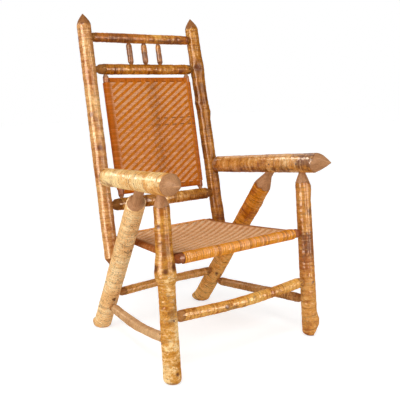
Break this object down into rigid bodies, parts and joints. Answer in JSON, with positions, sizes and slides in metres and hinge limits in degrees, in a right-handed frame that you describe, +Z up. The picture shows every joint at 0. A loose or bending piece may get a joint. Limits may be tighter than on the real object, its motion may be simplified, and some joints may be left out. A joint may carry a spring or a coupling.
{
  "type": "armchair",
  "caption": "Rustic high-back armchair of varnished bark-on birch logs with sharpened ends and nailed round tenons, and a woven cane seat and back panel.",
  "frame": {"origin": "on the floor, under the middle of the chair's bounding box", "axes": "+Z up, -Y towards the front of the chair, -X towards the sitter's right"},
  "size_m": [0.73, 0.7246, 1.1912],
  "materials": {
    "birch_bark": "varnished bark",
    "rail_bark": "varnished bark",
    "rod_wood": "varnished peeled wood",
    "woven_cane": "satin woven cane",
    "nail_iron": "dark"
  },
  "bodies": {
    "root": {"arm_right": "birch_bark", "arm_left": "birch_bark", "front_leg_right": "birch_bark", "front_leg_left": "birch_bark", "rear_leg_right": "birch_bark", "rear_leg_left": "birch_bark", "back_post_right": "birch_bark", "back_post_left": "birch_bark", "crest_rail": "rail_bark", "middle_back_rail": "rail_bark", "lower_back_rail": "rail_bark", "seat_front_rail": "rail_bark", "seat_rear_rail": "rail_bark", "front_stretcher": "rail_bark", "rear_stretcher": "rail_bark", "side_stretcher_right": "rail_bark", "side_stretcher_left": "rail_bark", "spindle_right": "rod_wood", "spindle_centre": "rod_wood", "spindle_left": "rod_wood", "back_rod_right": "rod_wood", "back_rod_left": "rod_wood", "back_bar_bottom": "rod_wood", "back_bar_top": "rod_wood", "seat_rod_right": "rod_wood", "seat_rod_left": "rod_wood", "back_weave": "woven_cane", "seat_weave": "woven_cane", "nail_front_leg_right_end": "nail_iron", "nail_front_leg_left_end": "nail_iron", "nail_rear_leg_right_end": "nail_iron", "nail_rear_leg_left_end": "nail_iron", "nail_arm_right_start": "nail_iron", "nail_arm_left_start": "nail_iron", "nail_back_post_right_start": "nail_iron", "nail_back_post_left_start": "nail_iron", "nail_crest_rail_start": "nail_iron", "nail_crest_rail_end": "nail_iron", "nail_middle_back_rail_start": "nail_iron", "nail_middle_back_rail_end": "nail_iron", "nail_lower_back_rail_start": "nail_iron", "nail_lower_back_rail_end": "nail_iron", "nail_seat_front_rail_start": "nail_iron", "nail_seat_front_rail_end": "nail_iron", "nail_seat_rear_rail_start": "nail_iron", "nail_seat_rear_rail_end": "nail_iron", "nail_front_stretcher_start": "nail_iron", "nail_front_stretcher_end": "nail_iron", "nail_rear_stretcher_start": "nail_iron", "nail_rear_stretcher_end": "nail_iron", "nail_side_stretcher_right_start": "nail_iron", "nail_side_stretcher_right_end": "nail_iron", "nail_side_stretcher_left_start": "nail_iron", "nail_side_stretcher_left_end": "nail_iron"}
  },
  "joints": []
}
